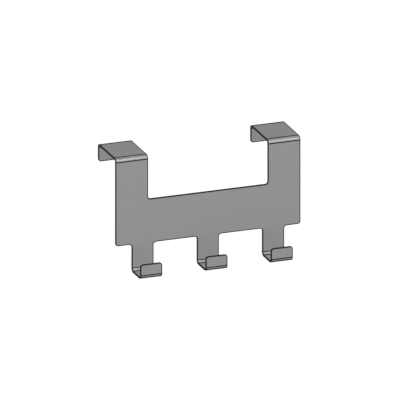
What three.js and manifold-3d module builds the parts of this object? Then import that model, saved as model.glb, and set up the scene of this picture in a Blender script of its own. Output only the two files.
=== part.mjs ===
// Over-door hook rack: one cut and folded steel sheet with thin foam pads where it meets the door.
// Millimetres, +Z up, -Y towards the room. The origin is the door's top front edge, midway along the rack:
// Y = 0 is the door's front face and Z = 0 its top face.
import * as THREE from 'three';
import { mergeVertices } from 'three/addons/utils/BufferGeometryUtils.js';
import Module from 'manifold-3d';

const wasm = await Module();
wasm.setup();

// Sheet
const sheetThickness = 1.5;
const bendInsideRadius = 2;
const cornerRadius = 2.5;

// Door, and the pads that take up the play in its slot
const doorThickness = 39;
const doorClearance = 1;
const padThickness = 1;
const padInset = 3;
const padCornerRadius = 2;
const armPadHeight = 30;
const platePadHeight = 14;

// Plate and the two brackets that hang on the door
const plateWidth = 170;
const plateHeight = 40;
const armWidth = 30;
const armRise = 40;
const rearLipDrop = 16.5;

// Coat hooks along the plate's lower edge
const hookCount = 3;
const hookWidth = 20;
const hookMargin = 15;
const hookDrop = 25;
const hookReach = 20;
const hookLipHeight = 12;

// Straight steps that each bend and rounded corner is drawn with
const arcSteps = 8;

// Levels and depths that follow from the sizes above
const bendOutsideRadius = bendInsideRadius + sheetThickness;
const sheetBack = -padThickness;
const sheetFront = sheetBack - sheetThickness;
const flangeUnder = padThickness;
const flangeTop = flangeUnder + sheetThickness;
const rearLipInner = doorThickness + doorClearance;
const rearLipOuter = rearLipInner + sheetThickness;
const rearLipBottom = flangeTop - rearLipDrop;
const plateTop = flangeTop - armRise;
const plateBottom = plateTop - plateHeight;
const hookBottom = plateBottom - hookDrop;
const hookSeat = hookBottom + sheetThickness;
const hookLipTop = hookSeat + hookLipHeight;
const hookLipInner = sheetFront - hookReach;
const hookLipOuter = hookLipInner - sheetThickness;

// The flat blank ends where the bends start. The folded strips run on past that line into the blank.
const armEnd = flangeTop - bendOutsideRadius;
const shankEnd = hookBottom + bendOutsideRadius;
const stripOverlap = bendInsideRadius;

const plateRight = plateWidth / 2;
const armInner = plateRight - armWidth;
const armCentre = plateRight - armWidth / 2;
const hookGaps = Math.max(hookCount - 1, 1);
const hookPitch = (plateWidth - 2 * hookMargin - hookWidth) / hookGaps;
const hookCentres = Array.from({ length: hookCount }, (_, i) => (i - (hookCount - 1) / 2) * hookPitch);

// Outlines are drawn in the shape's own plane, and these turn them into the rack's frame
const facingFront = new THREE.Matrix4().makeBasis(
  new THREE.Vector3(1, 0, 0),
  new THREE.Vector3(0, 0, 1),
  new THREE.Vector3(0, -1, 0),
);
const facingSide = new THREE.Matrix4().makeBasis(
  new THREE.Vector3(0, 1, 0),
  new THREE.Vector3(0, 0, 1),
  new THREE.Vector3(1, 0, 0),
);

// A closed outline through square corners [x, y, radius], with an arc at each corner that has a radius
function roundedOutline(corners) {
  const points = corners.flatMap(([x, y, radius], i) => {
    const corner = new THREE.Vector2(x, y);
    if (radius === 0) return [corner];
    const before = new THREE.Vector2(...corners.at(i - 1));
    const after = new THREE.Vector2(...corners[(i + 1) % corners.length]);
    const arriving = corner.clone().sub(before).normalize();
    const leaving = after.sub(corner).normalize();
    const centre = corner.clone().addScaledVector(arriving, -radius).addScaledVector(leaving, radius);
    const start = Math.atan2(-leaving.y, -leaving.x);
    const end = Math.atan2(arriving.y, arriving.x);
    const clockwise = arriving.cross(leaving) < 0;
    const arc = new THREE.EllipseCurve(centre.x, centre.y, radius, radius, start, end, clockwise);
    return arc.getPoints(arcSteps);
  });
  return new THREE.Shape(points);
}

function roundedRectangle(x0, y0, x1, y1, radius) {
  return roundedOutline([[x0, y0, radius], [x1, y0, radius], [x1, y1, radius], [x0, y1, radius]]);
}

function extruded(shape, depth) {
  return new THREE.ExtrudeGeometry(shape, { depth, bevelEnabled: false });
}

// Extrudes an outline in X and Z towards the room, from the depth y forwards
function extrudedForwards(shape, y, depth) {
  return extruded(shape, depth).applyMatrix4(facingFront).translate(0, y, 0);
}

// Extrudes a side view in Y and Z along X, centred on x
function extrudedAcross(shape, x, width) {
  return extruded(shape, width).applyMatrix4(facingSide).translate(x - width / 2, 0, 0);
}

function toSolid(geometry) {
  geometry.deleteAttribute('normal');
  geometry.deleteAttribute('uv');
  const merged = mergeVertices(geometry);
  const vertProperties = new Float32Array(merged.attributes.position.array);
  const triVerts = new Uint32Array(merged.index.array);
  return new wasm.Manifold(new wasm.Mesh({ numProp: 3, vertProperties, triVerts }));
}

function toGeometry(solid) {
  const { vertProperties, triVerts } = solid.getMesh();
  const indexed = new THREE.BufferGeometry();
  indexed.setAttribute('position', new THREE.BufferAttribute(vertProperties, 3));
  indexed.setIndex(new THREE.BufferAttribute(triVerts, 1));
  const geometry = indexed.toNonIndexed();
  geometry.computeVertexNormals();
  return geometry;
}

// The flat front: plate, arms and hook shanks, with a fillet wherever a strip leaves the plate
function flatBlank() {
  const shanks = hookCentres.flatMap((x) => [
    [x - hookWidth / 2, plateBottom, cornerRadius],
    [x - hookWidth / 2, shankEnd, 0],
    [x + hookWidth / 2, shankEnd, 0],
    [x + hookWidth / 2, plateBottom, cornerRadius],
  ]);
  const outline = roundedOutline([
    [-plateRight, armEnd, 0],
    [-plateRight, plateBottom, cornerRadius],
    ...shanks,
    [plateRight, plateBottom, cornerRadius],
    [plateRight, armEnd, 0],
    [armInner, armEnd, 0],
    [armInner, plateTop, cornerRadius],
    [-armInner, plateTop, cornerRadius],
    [-armInner, armEnd, 0],
  ]);
  return toSolid(extrudedForwards(outline, sheetBack, sheetThickness));
}

// The top of an arm: over the door in two bends, down to the rear lip with its rounded corners
function doorHook(x) {
  const stripEnd = armEnd - stripOverlap;
  const sideView = roundedOutline([
    [sheetFront, stripEnd, 0],
    [sheetFront, flangeTop, bendOutsideRadius],
    [rearLipOuter, flangeTop, bendOutsideRadius],
    [rearLipOuter, rearLipBottom, 0],
    [rearLipInner, rearLipBottom, 0],
    [rearLipInner, flangeUnder, bendInsideRadius],
    [sheetBack, flangeUnder, bendInsideRadius],
    [sheetBack, stripEnd, 0],
  ]);
  const frontView = roundedOutline([
    [x - armWidth / 2, flangeTop, 0],
    [x - armWidth / 2, rearLipBottom, cornerRadius],
    [x + armWidth / 2, rearLipBottom, cornerRadius],
    [x + armWidth / 2, flangeTop, 0],
  ]);
  const strip = toSolid(extrudedAcross(sideView, x, armWidth));
  const trim = toSolid(extrudedForwards(frontView, rearLipOuter, rearLipOuter - sheetFront));
  return strip.intersect(trim);
}

// A coat hook: the shank's end, forwards in a bend, and up to the lip with its rounded corners
function coatHook(x) {
  const stripEnd = shankEnd + stripOverlap;
  const sideView = roundedOutline([
    [sheetBack, stripEnd, 0],
    [sheetBack, hookBottom, bendOutsideRadius],
    [hookLipOuter, hookBottom, bendOutsideRadius],
    [hookLipOuter, hookLipTop, 0],
    [hookLipInner, hookLipTop, 0],
    [hookLipInner, hookSeat, bendInsideRadius],
    [sheetFront, hookSeat, bendInsideRadius],
    [sheetFront, stripEnd, 0],
  ]);
  const frontView = roundedOutline([
    [x - hookWidth / 2, hookBottom, 0],
    [x + hookWidth / 2, hookBottom, 0],
    [x + hookWidth / 2, hookLipTop, cornerRadius],
    [x - hookWidth / 2, hookLipTop, cornerRadius],
  ]);
  const strip = toSolid(extrudedAcross(sideView, x, hookWidth));
  const trim = toSolid(extrudedForwards(frontView, sheetBack, sheetBack - hookLipOuter));
  return strip.intersect(trim);
}

const greyCoat = new THREE.MeshStandardMaterial({ color: 0x929292, roughness: 0.45, metalness: 0.3 });
const foam = new THREE.MeshStandardMaterial({ color: 0x2b2b2d, roughness: 0.9, metalness: 0 });

const rack = new THREE.Group();

function addPiece(name, geometry, material) {
  const mesh = new THREE.Mesh(geometry, material);
  mesh.name = name;
  rack.add(mesh);
}

const strips = [-armCentre, armCentre].map(doorHook).concat(hookCentres.map(coatHook));
const foldedSheet = strips.reduce((whole, strip) => whole.add(strip), flatBlank());
addPiece('folded_rack_sheet', toGeometry(foldedSheet), greyCoat);

// Foam pads, stuck to the flat stretches between the bends and held in from the sheet's edges
const flatBehindArm = sheetBack + bendInsideRadius;
const flatBeforeLip = rearLipInner - bendInsideRadius;
const flatBelowFlange = flangeUnder - bendInsideRadius;
const armPadTop = flatBelowFlange - padInset;
const platePadBottom = plateBottom + padInset;

const sides = [['left', -armCentre], ['right', armCentre]];
for (const [side, x] of sides) {
  const left = x - armWidth / 2 + padInset;
  const right = x + armWidth / 2 - padInset;
  const topView = roundedRectangle(
    left, flatBehindArm + padInset, right, flatBeforeLip - padInset, padCornerRadius,
  );
  addPiece(`door_top_pad_${side}`, extruded(topView, padThickness), foam);
  const backView = roundedRectangle(left, armPadTop - armPadHeight, right, armPadTop, padCornerRadius);
  addPiece(`arm_back_pad_${side}`, extrudedForwards(backView, 0, padThickness), foam);
}

hookCentres.forEach((x, i) => {
  const backView = roundedRectangle(
    x - hookWidth / 2, platePadBottom, x + hookWidth / 2, platePadBottom + platePadHeight, padCornerRadius,
  );
  addPiece(`plate_back_pad_${i + 1}`, extrudedForwards(backView, 0, padThickness), foam);
});

export default rack;
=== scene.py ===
import math
from types import SimpleNamespace

import bmesh
import bpy
from mathutils import Matrix, Vector


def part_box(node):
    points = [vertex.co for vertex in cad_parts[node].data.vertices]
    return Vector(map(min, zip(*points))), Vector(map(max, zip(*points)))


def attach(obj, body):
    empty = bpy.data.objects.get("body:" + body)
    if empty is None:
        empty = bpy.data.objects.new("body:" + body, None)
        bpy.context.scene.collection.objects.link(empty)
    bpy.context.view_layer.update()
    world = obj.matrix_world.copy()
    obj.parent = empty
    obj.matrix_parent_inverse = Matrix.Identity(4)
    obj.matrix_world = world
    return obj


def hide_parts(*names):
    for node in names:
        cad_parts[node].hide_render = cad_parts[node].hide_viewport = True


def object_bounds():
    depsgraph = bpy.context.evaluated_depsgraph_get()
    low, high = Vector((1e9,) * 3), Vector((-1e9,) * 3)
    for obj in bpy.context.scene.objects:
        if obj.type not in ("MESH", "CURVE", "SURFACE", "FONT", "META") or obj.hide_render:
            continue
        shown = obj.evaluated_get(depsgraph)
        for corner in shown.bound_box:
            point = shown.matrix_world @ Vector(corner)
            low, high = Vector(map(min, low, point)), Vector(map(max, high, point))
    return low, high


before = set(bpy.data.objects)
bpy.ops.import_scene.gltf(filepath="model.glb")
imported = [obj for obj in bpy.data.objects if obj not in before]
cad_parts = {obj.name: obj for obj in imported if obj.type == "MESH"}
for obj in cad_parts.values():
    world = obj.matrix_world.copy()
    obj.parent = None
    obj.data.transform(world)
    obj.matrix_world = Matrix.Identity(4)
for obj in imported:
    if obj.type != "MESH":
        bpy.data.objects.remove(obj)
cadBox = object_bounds()
print("frame loaded:", len(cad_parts), "nodes")

scene = bpy.context.scene
scene.view_settings.view_transform = "Standard"

# camera: a parallel view from the room, a little from the left and above
cameraSizes = {
    "azimuth": -20.4,           # degrees round from straight in front
    "elevation": 19.6,
    "widthSeen": 0.3446,        # metres across the picture
    "moveRight": -0.0030,       # the aim, off the rack's middle, across the picture
    "moveUp": 0.0009,
    "distance": 1.0,
}


def addCamera(sizes):
    turn = math.radians(sizes["azimuth"])
    tilt = math.radians(sizes["elevation"])
    back = Vector((math.sin(turn) * math.cos(tilt), -math.cos(turn) * math.cos(tilt), math.sin(tilt)))
    pose = back.to_track_quat("Z", "Y")
    middle = (cadBox[0] + cadBox[1]) / 2
    aim = middle + pose @ Vector((sizes["moveRight"], sizes["moveUp"], 0))
    lens = bpy.data.cameras.new("roomCamera")
    lens.type = "ORTHO"
    lens.ortho_scale = sizes["widthSeen"]
    camera = bpy.data.objects.new("roomCamera", lens)
    camera.location = aim + back * sizes["distance"]
    camera.rotation_euler = pose.to_euler()
    scene.collection.objects.link(camera)
    scene.camera = camera


addCamera(cameraSizes)
print("camera set")


class Wire:                     # one shader socket; an expression on wires adds its Math nodes
    def __init__(self, tree, socket=None):
        self.tree = tree
        self.socket = socket

    def node(self, kind, settings=None, sockets=None, output=0):
        made = self.tree.nodes.new(kind)
        for name, value in (settings or {}).items():
            setattr(made, name, value)
        for name, value in (sockets or {}).items():
            if isinstance(value, Wire):
                self.tree.links.new(value.socket, made.inputs[name])
            else:
                made.inputs[name].default_value = value
        return Wire(self.tree, made.outputs[output] if len(made.outputs) else None)

    def other(self, output):    # another output of the same node
        return Wire(self.tree, self.socket.node.outputs[output])

    def maths(self, operation, left, right):
        return self.node("ShaderNodeMath", {"operation": operation}, {0: left, 1: right})

    def __add__(self, right):
        return self.maths("ADD", self, right)

    def __radd__(self, left):
        return self.maths("ADD", left, self)

    def __sub__(self, right):
        return self.maths("SUBTRACT", self, right)

    def __rsub__(self, left):
        return self.maths("SUBTRACT", left, self)

    def __mul__(self, right):
        return self.maths("MULTIPLY", self, right)

    def __rmul__(self, left):
        return self.maths("MULTIPLY", left, self)


def newFinish(name):
    material = bpy.data.materials.new(name)
    material.use_nodes = True
    material.node_tree.nodes.clear()
    return material, Wire(material.node_tree)


def grey(level):
    return (level, level, level, 1.0)


def blendColours(amount, first, second):        # 6, 7 and output 2 are the Mix node's colour sockets
    return amount.node("ShaderNodeMix", {"data_type": "RGBA"}, {0: amount, 6: first, 7: second}, output=2)


def greyAround(amount, tone, spread):           # from darker to lighter than a tone, by a share of it
    return blendColours(amount, grey(tone * (1 - spread)), grey(tone * (1 + spread)))


def offMiddle(noise):                           # noise runs from 0 to 1, this from -0.5 to 0.5
    return noise - 0.5


def smoothStep(value, start, end):
    settings = {"interpolation_type": "SMOOTHSTEP"}
    return value.node("ShaderNodeMapRange", settings, {"Value": value, "From Min": start, "From Max": end})


def noiseOn(place, sizes):
    stretch = tuple(1 / size for size in sizes)
    stretched = place.node("ShaderNodeMapping", None, {"Vector": place, "Scale": stretch})
    return place.node("ShaderNodeTexNoise", None, {"Vector": stretched, "Scale": 1.0, "Detail": 2.0})


def cellsOn(place, size, output):
    sockets = {"Vector": place, "Scale": 1 / size}
    return place.node("ShaderNodeTexVoronoi", {"feature": "F1"}, sockets, output)


def bumpFrom(height, look):
    sockets = {"Strength": look["bump"], "Distance": look["bumpDepth"], "Height": height}
    return height.node("ShaderNodeBump", None, sockets)


# grey coat: a satin powder coat with fine flakes and a faint orange peel, thin and dark along the cut edges
# and the lines where the press bit; the same dark is painted shade on the underside of each hook's front
# bend
coatLook = {
    "tone": 0.29,               # linear grey
    "flakeContrast": 0.10,
    "cloudContrast": 0.05,
    "metal": 0.22,
    "flakeMetal": 0.16,
    "roughness": 0.38,
    "flakeRoughness": 0.10,
    "cloudRoughness": 0.06,
    "flake": 0.00014,           # metres
    "pebble": (0.0011, 0.0011, 0.0011),
    "fineSkin": (0.00035, 0.00035, 0.00035),
    "cloud": (0.045, 0.028, 0.028),
    "bump": 0.22,
    "bumpDepth": 0.00002,
    "pebbleShare": 0.75,        # of the bump, the rest is fine skin
    "edgeAndShadeTone": 0.012,
    "edgeContrast": 0.5,
    "edgeGrain": 0.16,          # how unevenly the dark ends on the face
    "edgeRoughness": 0.8,
    "edgeShine": 0.15,
    "edgeStart": 0.15,          # where along the edge mask the dark begins and is full
    "edgeFull": 0.40,
}


def greyCoat(look):
    material, wire = newFinish("grey_satin_coat")
    place = wire.node("ShaderNodeTexCoord", output="Object")
    flakeColour = cellsOn(place, look["flake"], "Color")
    flake = wire.node("ShaderNodeSeparateColor", None, {"Color": flakeColour}, output="Red")
    pebble = noiseOn(place, look["pebble"])
    fineSkin = noiseOn(place, look["fineSkin"])
    cloud = noiseOn(place, look["cloud"])
    edge = wire.node("ShaderNodeAttribute", {"attribute_name": "edgeAndShadeTone"}, output="Fac")
    # the dark mix also lays painted shade under each hook's front bend
    dark = smoothStep(edge + offMiddle(fineSkin) * look["edgeGrain"], look["edgeStart"], look["edgeFull"])

    spread = look["flakeContrast"] + look["cloudContrast"]
    shade = offMiddle(flake) * look["flakeContrast"] + offMiddle(cloud) * look["cloudContrast"]
    rough = look["roughness"] + offMiddle(flake) * look["flakeRoughness"]
    height = pebble * look["pebbleShare"] + fineSkin * (1 - look["pebbleShare"])
    coatSockets = {
        "Base Color": greyAround(0.5 + shade * (1 / spread), look["tone"], spread / 2),
        "Roughness": rough + offMiddle(cloud) * look["cloudRoughness"],
        "Metallic": look["metal"] + offMiddle(flake) * look["flakeMetal"],
        "Normal": bumpFrom(height, look),
    }
    edgeSockets = {
        "Base Color": greyAround(fineSkin, look["edgeAndShadeTone"], look["edgeContrast"]),
        "Roughness": look["edgeRoughness"],
        "Specular IOR Level": look["edgeShine"],
    }
    coat = wire.node("ShaderNodeBsdfPrincipled", None, coatSockets)
    bareEdgeAndShade = wire.node("ShaderNodeBsdfPrincipled", None, edgeSockets)
    both = wire.node("ShaderNodeMixShader", None, {0: dark, 1: coat, 2: bareEdgeAndShade})
    wire.node("ShaderNodeOutputMaterial", None, {"Surface": both})
    return material


# foam: dark closed cells with a soft skin, and a pale film of adhesive against the steel
foamLook = {
    "tone": 0.024,
    "cellTone": 0.034,
    "filmTone": 0.16,
    "roughness": 0.88,
    "dimpleRoughness": 0.12,
    "cell": 0.00028,
    "dimple": (0.0016, 0.0016, 0.0016),
    "bump": 0.35,
    "bumpDepth": 0.00006,
    "cellShare": 0.7,           # of the bump, the rest is dimples
}


def closedCellFoam(look):
    material, wire = newFinish("closed_cell_foam")
    place = wire.node("ShaderNodeTexCoord", output="Object")
    cells = cellsOn(place, look["cell"], "Distance")
    dimples = noiseOn(place, look["dimple"])
    film = wire.node("ShaderNodeAttribute", {"attribute_name": "filmTone"}, output="Fac")
    foam = blendColours(cells, grey(look["tone"]), grey(look["cellTone"]))
    height = cells * look["cellShare"] + dimples * (1 - look["cellShare"])
    foamSockets = {
        "Base Color": blendColours(film, foam, grey(look["filmTone"])),
        "Roughness": look["roughness"] + offMiddle(dimples) * look["dimpleRoughness"],
        "Normal": bumpFrom(height, look),
    }
    shader = wire.node("ShaderNodeBsdfPrincipled", None, foamSockets)
    wire.node("ShaderNodeOutputMaterial", None, {"Surface": shader})
    return material


coatFinish = greyCoat(coatLook)
foamFinish = closedCellFoam(foamLook)
print("finishes made")

hair = 1e-6                     # metres: closer than this is the same place


def near(a, b):
    return abs(a - b) < hair


def only(kind, parts):
    return [part for part in parts if isinstance(part, kind)]


def edgesWhere(mesh, test):
    return [edge for edge in mesh.edges if all(test(corner.co) for corner in edge.verts)]


def addRectangle(mesh, width, length, place):
    size = Matrix.Diagonal((width, length, 1, 1))
    bmesh.ops.create_grid(mesh, x_segments=1, y_segments=1, size=0.5, matrix=place @ size)


def cutAcross(mesh, place, way):        # a line of new edges where the plane meets the faces
    everything = mesh.verts[:] + mesh.edges[:] + mesh.faces[:]
    bmesh.ops.bisect_plane(mesh, geom=everything, dist=hair, plane_co=place, plane_no=way)


def roundOff(mesh, parts, radius, steps, affect="EDGES"):
    bmesh.ops.bevel(
        mesh, geom=parts, offset=radius, offset_type="OFFSET", segments=steps, profile=0.5,
        affect=affect, clamp_overlap=False, material=-1,
    )


def insetBand(mesh, faces, width):
    bmesh.ops.inset_region(
        mesh, faces=faces, use_boundary=True, use_even_offset=True, thickness=width, depth=0
    )


def addPiece(mesh, name, finish, node):
    data = bpy.data.meshes.new(name)
    for face in mesh.faces:
        face.smooth = True
    mesh.to_mesh(data)
    mesh.free()
    data.materials.append(finish)
    piece = bpy.data.objects.new(name, data)
    scene.collection.objects.link(piece)
    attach(piece, "root")
    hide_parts(node)
    return piece


# folded sheet: cut, folded and deburred as in the shop, from the skin that faces the room
# and goes over the door
sheetSizes = {
    "thickness": 0.0015,
    "bendInside": 0.002,
    "cornerRadius": 0.0025,
    "plateHeight": 0.040,
    "armWidth": 0.030,
    "armRise": 0.040,
    "rearLipDrop": 0.0165,
    "hookCount": 3,
    "hookWidth": 0.020,
    "hookMargin": 0.015,
    "hookLip": 0.012,
    "bendSteps": 16,
    "cornerSteps": 8,
    "edgeBand": 0.0012,         # how far the cut darkens the face beside it
    "uprightMark": 0.0007,      # width of the line that the press leaves beside a bend
    "levelMark": 0.0019,
    "rearMark": 0.0023,         # the same before the bend at the door's back
    "rearTurn": 25,             # degrees of that bend that are rubbed dark
    "bendMark": 0.55,           # the line's tone on the bend itself
    "paintedShadeStart": 25,             # degrees into a hook's front bend, from its lip, where the painted shade begins and ends
    "paintedShadeEnd": 74,
    "deburr": 0.00012,
    "deburrSteps": 2,
}


def sheetLevels(sizes):         # heights, depths and spans that follow from the frame and the sizes
    low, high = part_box("folded_rack_sheet")
    at = SimpleNamespace(low=low, high=high)
    at.inside = sizes["bendInside"]
    at.outside = sizes["bendInside"] + sizes["thickness"]
    at.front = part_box("arm_back_pad_left")[0].y - sizes["thickness"]
    at.plateTop = high.z - sizes["armRise"]
    at.plateBottom = at.plateTop - sizes["plateHeight"]
    at.seat = low.z + sizes["thickness"]
    at.lipInner = low.y + sizes["thickness"]
    at.width = high.x - low.x

    gaps = max(sizes["hookCount"] - 1, 1)
    pitch = (at.width - 2 * sizes["hookMargin"] - sizes["hookWidth"]) / gaps
    hooks = [(i - (sizes["hookCount"] - 1) / 2) * pitch for i in range(sizes["hookCount"])]
    at.hookSpans = [(x - sizes["hookWidth"] / 2, x + sizes["hookWidth"] / 2) for x in hooks]
    at.armSpans = [(low.x, low.x + sizes["armWidth"]), (high.x - sizes["armWidth"], high.x)]

    # where the bends end, and how far the press marks the flat sheet from there
    at.bendLevels = {
        high.z - at.outside: -sizes["uprightMark"],
        at.seat + at.inside: sizes["uprightMark"],
    }
    at.bendDepths = {
        at.front + at.outside: sizes["levelMark"],
        high.y - at.outside: -sizes["rearMark"],
        at.front - at.inside: -sizes["levelMark"],
        at.lipInner + at.inside: sizes["levelMark"],
    }
    return at


def pullEdges(mesh, edges, move):
    made = bmesh.ops.extrude_edge_only(mesh, edges=edges)["geom"]
    corners = only(bmesh.types.BMVert, made)
    bmesh.ops.translate(mesh, verts=corners, vec=move)
    lines = only(bmesh.types.BMEdge, made)
    return [line for line in lines if all(corner in corners for corner in line.verts)]


def pullStrips(mesh, spans, level, moves):
    for start, end in spans:
        edges = edgesWhere(mesh, lambda point: near(point.z, level) and start - hair < point.x < end + hair)
        for move in moves:
            edges = pullEdges(mesh, edges, move)


def cutBlank(sizes, at):        # the plate, then each arm and hook pulled out of its edge
    mesh = bmesh.new()
    upright = Matrix.Rotation(math.pi / 2, 4, "X")
    centre = Matrix.Translation((0, at.front, (at.plateTop + at.plateBottom) / 2))
    addRectangle(mesh, at.width, sizes["plateHeight"], centre @ upright)
    for start, end in at.armSpans + at.hookSpans:
        for x in (start, end):
            cutAcross(mesh, (x, 0, 0), (1, 0, 0))

    overDoor = [(0, 0, sizes["armRise"]), (0, at.high.y - at.front, 0), (0, 0, -sizes["rearLipDrop"])]
    pullStrips(mesh, at.armSpans, at.plateTop, overDoor)
    intoRoom = [(0, 0, at.seat - at.plateBottom), (0, at.lipInner - at.front, 0), (0, 0, sizes["hookLip"])]
    pullStrips(mesh, at.hookSpans, at.plateBottom, intoRoom)

    flatWithin = math.radians(1)
    bmesh.ops.dissolve_limit(mesh, angle_limit=flatWithin, verts=mesh.verts[:], edges=mesh.edges[:])
    bmesh.ops.recalc_face_normals(mesh, faces=mesh.faces[:])
    plate = max(mesh.faces, key=lambda face: face.calc_area())
    if plate.normal.y > 0:
        bmesh.ops.reverse_faces(mesh, faces=mesh.faces[:])
    return mesh


def foldAt(mesh, level, radius, steps):
    lines = edgesWhere(mesh, lambda point: near(point.z, level))
    folds = [line for line in lines if near(line.verts[0].co.y, line.verts[1].co.y)]
    roundOff(mesh, folds, radius, steps)


def isSquare(corner):           # a corner of the outline, which the steps of a bend are not
    nearlySquare = 0.2          # cosine between its two rims
    rims = [edge for edge in corner.link_edges if edge.is_boundary]
    if len(rims) != 2:
        return False
    ways = [(edge.other_vert(corner).co - corner.co).normalized() for edge in rims]
    return abs(ways[0].dot(ways[1])) < nearlySquare


# a line beside each bend, where the press bites, and a band along every cut
def markLines(mesh, sizes, at):
    for level, mark in at.bendLevels.items():
        cutAcross(mesh, (0, 0, level + mark), (0, 0, 1))
    for depth, mark in at.bendDepths.items():
        cutAcross(mesh, (0, depth + mark, 0), (0, 1, 0))
    insetBand(mesh, mesh.faces[:], sizes["edgeBand"])

    def besideBend(corner):
        levels = any(near(corner.co.z, level) for level in at.bendLevels)
        depths = any(near(corner.co.y, depth) for depth in at.bendDepths)
        return levels or depths

    rearTop = at.high.z - at.outside * (1 - math.cos(math.radians(sizes["rearTurn"])))

    def onRearBend(corner):
        return corner.co.y > at.high.y - at.outside and corner.co.z > rearTop

    tone = mesh.verts.layers.float.new("edgeAndShadeTone")
    longestStep = at.outside * math.pi / 2 / sizes["bendSteps"]         # round a bend
    for corner in [corner for corner in mesh.verts if besideBend(corner)]:
        for edge in corner.link_edges:
            if edge.calc_length() < longestStep + hair:
                edge.other_vert(corner)[tone] = sizes["bendMark"]
    for corner in mesh.verts:
        if corner.is_boundary or besideBend(corner) or onRearBend(corner):
            corner[tone] = 1.0


def thicken(mesh, sizes):       # to the back; gives the new rear faces and the cut ones
    skin = set(mesh.faces)
    made = bmesh.ops.solidify(mesh, geom=mesh.faces[:], thickness=sizes["thickness"])["geom"]
    rearSkin = set(only(bmesh.types.BMFace, made))
    cutFaces = {face for face in mesh.faces if face not in skin and face not in rearSkin}
    return rearSkin, cutFaces


# under a hook's front bend the lower of the two lines lies on the curve, painted dark there as shade where
# the bend faces down
def paintHookShade(mesh, sizes, at, rearSkin, cutFaces):
    def levelOnBend(turned):
        return at.low.z + at.outside * (1 - math.sin(math.radians(turned)))

    tone = mesh.verts.layers.float["edgeAndShadeTone"]
    paintedShadeTop, paintedShadeBottom = levelOnBend(sizes["paintedShadeStart"]), levelOnBend(sizes["paintedShadeEnd"])
    for corner in {corner for face in rearSkin for corner in face.verts}:
        onCut = any(face in cutFaces for face in corner.link_faces)
        inFront = corner.co.y < at.low.y + at.outside + hair
        if inFront and not onCut and corner.co.z < paintedShadeTop:
            corner[tone] = 1.0 if corner.co.z > paintedShadeBottom else 0.0


def deburr(mesh, sizes, cutFaces):
    arrises = [edge for edge in mesh.edges if sum(face in cutFaces for face in edge.link_faces) == 1]
    roundOff(mesh, arrises, sizes["deburr"], sizes["deburrSteps"])


def foldSheet(sizes):
    at = sheetLevels(sizes)
    mesh = cutBlank(sizes, at)
    foldAt(mesh, at.high.z, at.outside, sizes["bendSteps"])
    foldAt(mesh, at.seat, at.inside, sizes["bendSteps"])
    squareCorners = [corner for corner in mesh.verts if isSquare(corner)]
    roundOff(mesh, squareCorners, sizes["cornerRadius"], sizes["cornerSteps"], affect="VERTICES")
    markLines(mesh, sizes, at)
    rearSkin, cutFaces = thicken(mesh, sizes)
    paintHookShade(mesh, sizes, at, rearSkin, cutFaces)
    deburr(mesh, sizes, cutFaces)
    return addPiece(mesh, "folded_sheet", coatFinish, "folded_rack_sheet")


foldedSheet = foldSheet(sheetSizes)
print("sheet folded:", len(foldedSheet.data.polygons), "faces")

# foam pads: die-cut, soft at the free face and a little drawn in at half thickness
padSizes = {
    "cornerRadius": 0.002,
    "cornerSteps": 6,
    "film": 0.00012,            # adhesive against the steel
    "filmEdge": 0.00003,        # where the film's tone ends
    "waist": 0.00010,
    "edgeRound": 0.00030,
    "edgeSteps": 4,
    "flatInset": 0.0012,
    "fill": 0.9,
}


def padPlace(node):             # plan, thickness, and the turn that lays the glued face on the steel
    low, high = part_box(node)
    spread = high - low
    middle = (low + high) / 2
    if spread.y < spread.z:     # behind the sheet, against the door's front
        turn = Matrix(((1, 0, 0), (0, 0, 1), (0, -1, 0))).to_4x4()
        place = Matrix.Translation((middle.x, low.y, middle.z))
        return spread.x, spread.z, spread.y, place @ turn
    # under the flange, on the door's top
    turn = Matrix(((1, 0, 0), (0, -1, 0), (0, 0, -1))).to_4x4()
    place = Matrix.Translation((middle.x, middle.y, high.z))
    return spread.x, spread.y, spread.z, place @ turn


def cutPad(node, sizes):
    across, along, thick, place = padPlace(node)
    mesh = bmesh.new()
    addRectangle(mesh, across, along, Matrix())
    roundOff(mesh, mesh.verts[:], sizes["cornerRadius"], sizes["cornerSteps"], affect="VERTICES")
    raised = bmesh.ops.extrude_face_region(mesh, geom=mesh.faces[:], use_keep_orig=True)["geom"]
    bmesh.ops.translate(mesh, verts=only(bmesh.types.BMVert, raised), vec=(0, 0, thick))
    bmesh.ops.recalc_face_normals(mesh, faces=mesh.faces[:])

    half = thick / 2
    for level in (sizes["film"], sizes["film"] + sizes["filmEdge"], half):
        cutAcross(mesh, (0, 0, level), (0, 0, 1))
    waist = [corner for corner in mesh.verts if near(corner.co.z, half)]
    shrink = (1 - 2 * sizes["waist"] / across, 1 - 2 * sizes["waist"] / along, 1)
    bmesh.ops.scale(mesh, verts=waist, vec=shrink)
    freeRim = edgesWhere(mesh, lambda point: near(point.z, thick))
    roundOff(mesh, freeRim, sizes["edgeRound"], sizes["edgeSteps"])
    freeFace = max(mesh.faces, key=lambda face: face.calc_center_median().z)
    insetBand(mesh, [freeFace], sizes["flatInset"])

    film = mesh.verts.layers.float.new("filmTone")
    for corner in mesh.verts:
        corner[film] = 1.0 if corner.co.z < sizes["film"] + hair else 0.0
    bmesh.ops.transform(mesh, matrix=place, verts=mesh.verts[:])
    pad = addPiece(mesh, "foam_" + node, foamFinish, node)


padNodes = sorted(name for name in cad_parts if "pad" in name)
for name in padNodes:
    cutPad(name, padSizes)
print("pads cut:", len(padNodes))

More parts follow.
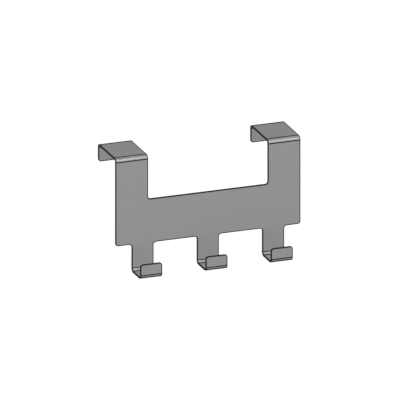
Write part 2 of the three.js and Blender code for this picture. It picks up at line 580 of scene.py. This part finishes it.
# studio: a softbox over the rack's front that the coat mirrors, plain fills that it doesn't,
# and a pale floor well below
studio = {
    "worldSeen": 1.0,           # what the camera sees is white
    "worldGloss": 0.42,         # what the coat mirrors
    "worldFill": 0.05,
    "floorLevel": -0.5,
    "floorSize": 12.0,
    "floorTone": 0.42,
    "floorWhite": 0.85,         # the share of the floor that the camera sees as plain white
    "floorSeen": 1.15,
    "floorGloss": 0.1,
}
softboxes = {
    "overheadSoftbox": {
        "place": (0.3, -1.0, 0.85), "size": (1.6, 0.45), "power": 16.0, "shadow": False, "gloss": True,
    },
    "frontFill": {
        "place": (0.15, -2.6, 0.15), "size": (2.6, 1.2), "power": 20.5, "shadow": False, "gloss": False,
    },
    "leftFill": {
        "place": (-1.6, -0.3, 0.0), "size": (1.0, 1.0), "power": 24.0, "shadow": False, "gloss": False,
    },
    "rearFill": {
        "place": (-1.1, 1.2, 1.1), "size": (1.4, 1.4), "power": 15.8, "shadow": True, "gloss": False,
    },
    "backFill": {
        "place": (0.15, 2.6, 0.15), "size": (2.6, 1.2), "power": 40.0, "shadow": False, "gloss": False,
    },
}


def cameraAndGloss(wire):       # 1 where the camera sees a surface, and 1 where a coat mirrors it
    path = wire.node("ShaderNodeLightPath", output="Is Camera Ray")
    return path + path.other("Is Transmission Ray"), path.other("Is Glossy Ray")


def whiteRoom(sizes):
    world = bpy.data.worlds.new("whiteRoom")
    scene.world = world
    world.use_nodes = True
    world.node_tree.nodes.clear()
    world.cycles.sampling_method = "NONE"
    wire = Wire(world.node_tree)
    seen, gloss = cameraAndGloss(wire)
    fill = 1 - seen - gloss
    strength = seen * sizes["worldSeen"] + gloss * sizes["worldGloss"] + fill * sizes["worldFill"]
    sky = wire.node("ShaderNodeBackground", None, {"Color": grey(1.0), "Strength": strength})
    wire.node("ShaderNodeOutputWorld", None, {"Surface": sky})


def hangSoftbox(name, box):
    lamp = bpy.data.lights.new(name, "AREA")
    lamp.shape = "RECTANGLE"
    lamp.size, lamp.size_y = box["size"]
    lamp.energy = box["power"]
    lamp.use_shadow = box["shadow"]
    lamp.cycles.use_multiple_importance_sampling = box["shadow"]
    holder = bpy.data.objects.new(name, lamp)
    holder.location = box["place"]
    holder.rotation_euler = Vector(box["place"]).to_track_quat("Z", "Y").to_euler()     # aimed at the origin
    holder.visible_camera = False
    holder.visible_glossy = box["gloss"]
    scene.collection.objects.link(holder)


def layFloor(sizes):
    finish, wire = newFinish("pale_floor")
    finish.cycles.emission_sampling = "NONE"
    seen, gloss = cameraAndGloss(wire)
    matt = wire.node("ShaderNodeBsdfDiffuse", None, {"Color": grey(sizes["floorTone"])})
    glossGlow = wire.node("ShaderNodeEmission", None, {"Strength": gloss * sizes["floorGloss"]})
    white = wire.node("ShaderNodeEmission", None, {"Strength": sizes["floorSeen"]})
    pale = wire.node("ShaderNodeAddShader", None, {0: matt, 1: glossGlow})
    shown = wire.node("ShaderNodeMixShader", None, {0: seen * sizes["floorWhite"], 1: pale, 2: white})
    wire.node("ShaderNodeOutputMaterial", None, {"Surface": shown})

    mesh = bmesh.new()
    level = Matrix.Translation((0, 0, sizes["floorLevel"]))
    addRectangle(mesh, sizes["floorSize"], sizes["floorSize"], level)
    data = bpy.data.meshes.new("paleFloor")
    mesh.to_mesh(data)
    mesh.free()
    data.materials.append(finish)
    floor = bpy.data.objects.new("paleFloor", data)
    scene.collection.objects.link(floor)


whiteRoom(studio)
for name, box in softboxes.items():
    hangSoftbox(name, box)
layFloor(studio)
print("studio lit")
